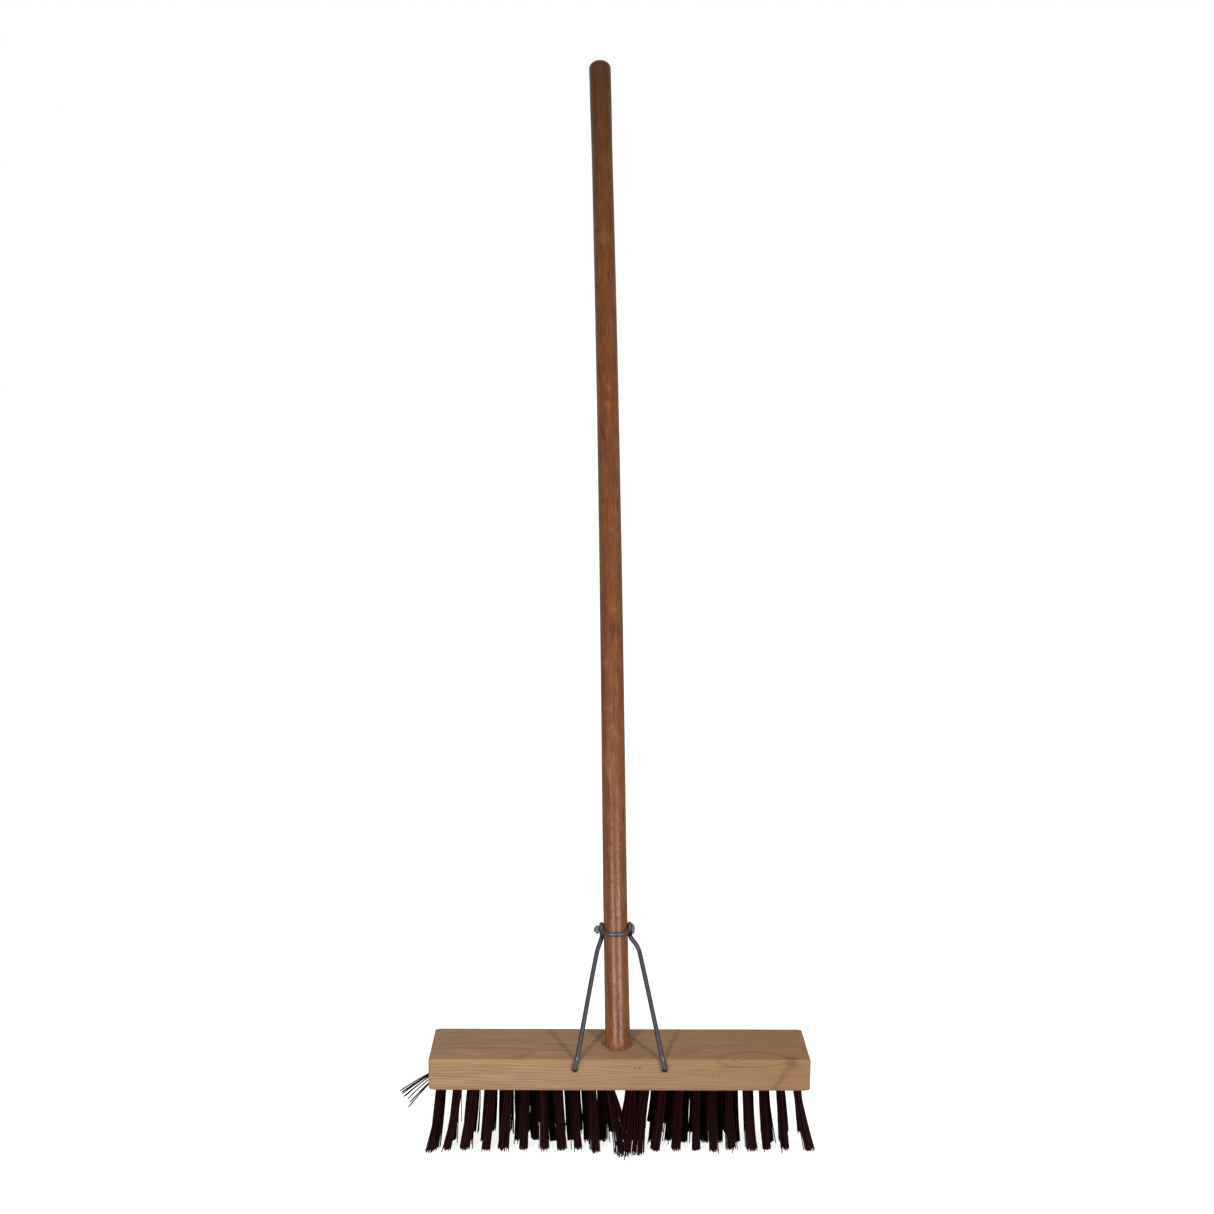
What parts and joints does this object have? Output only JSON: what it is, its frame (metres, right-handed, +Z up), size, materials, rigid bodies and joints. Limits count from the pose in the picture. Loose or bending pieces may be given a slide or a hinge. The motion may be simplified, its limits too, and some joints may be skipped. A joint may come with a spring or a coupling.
{
  "type": "push broom",
  "caption": "Push broom with a straight pine block, stiff dark bristle tufts, a leaning varnished handle and a bent wire stay clamped to it.",
  "frame": {"origin": "centre of the whole broom's box, at the level of the bristle tips", "axes": "+X along the block to the right, +Y towards the side that the handle leans to, +Z up; the stay's feet are in the block's -Y face"},
  "size_m": [0.416, 0.5326, 1.1439],
  "materials": {
    "pine_block": "bare planed pine",
    "varnished_handle": "gloss varnish",
    "galvanised_wire": "dull galvanised",
    "plated_steel": "zinc plated",
    "dark_bristle": "stiff extruded strands"
  },
  "bodies": {
    "root": {"block": "pine_block", "handle": "varnished_handle", "stay_wire": "galvanised_wire", "clamp_bolt": "plated_steel", "clamp_nut": "plated_steel", "handle_nail": "plated_steel", "front_tuft_01": "dark_bristle", "front_tuft_02": "dark_bristle", "front_tuft_03": "dark_bristle", "front_tuft_04": "dark_bristle", "front_tuft_05": "dark_bristle", "front_tuft_06": "dark_bristle", "front_tuft_07": "dark_bristle", "front_tuft_08": "dark_bristle", "front_tuft_09": "dark_bristle", "front_tuft_10": "dark_bristle", "front_tuft_11": "dark_bristle", "front_tuft_12": "dark_bristle", "front_tuft_13": "dark_bristle", "front_tuft_14": "dark_bristle", "front_tuft_15": "dark_bristle", "front_tuft_16": "dark_bristle", "front_tuft_17": "dark_bristle", "front_tuft_18": "dark_bristle", "front_tuft_19": "dark_bristle", "front_tuft_20": "dark_bristle", "front_tuft_21": "dark_bristle", "front_tuft_22": "dark_bristle", "mid_front_clump_01": "dark_bristle", "mid_front_clump_02": "dark_bristle", "mid_front_clump_03": "dark_bristle", "mid_front_clump_04": "dark_bristle", "mid_rear_clump_01": "dark_bristle", "mid_rear_clump_02": "dark_bristle", "mid_rear_clump_03": "dark_bristle", "mid_rear_clump_04": "dark_bristle", "mid_rear_clump_05": "dark_bristle", "mid_rear_clump_06": "dark_bristle", "rear_tuft_01": "dark_bristle", "rear_tuft_02": "dark_bristle", "rear_tuft_03": "dark_bristle", "rear_tuft_04": "dark_bristle", "rear_tuft_05": "dark_bristle", "rear_tuft_06": "dark_bristle", "rear_tuft_07": "dark_bristle", "rear_tuft_08": "dark_bristle", "rear_tuft_09": "dark_bristle", "rear_tuft_10": "dark_bristle", "rear_tuft_11": "dark_bristle", "rear_tuft_12": "dark_bristle", "rear_tuft_13": "dark_bristle", "rear_tuft_14": "dark_bristle", "rear_tuft_15": "dark_bristle", "rear_tuft_16": "dark_bristle", "rear_tuft_17": "dark_bristle", "rear_tuft_18": "dark_bristle", "rear_tuft_19": "dark_bristle", "rear_tuft_20": "dark_bristle"}
  },
  "joints": []
}
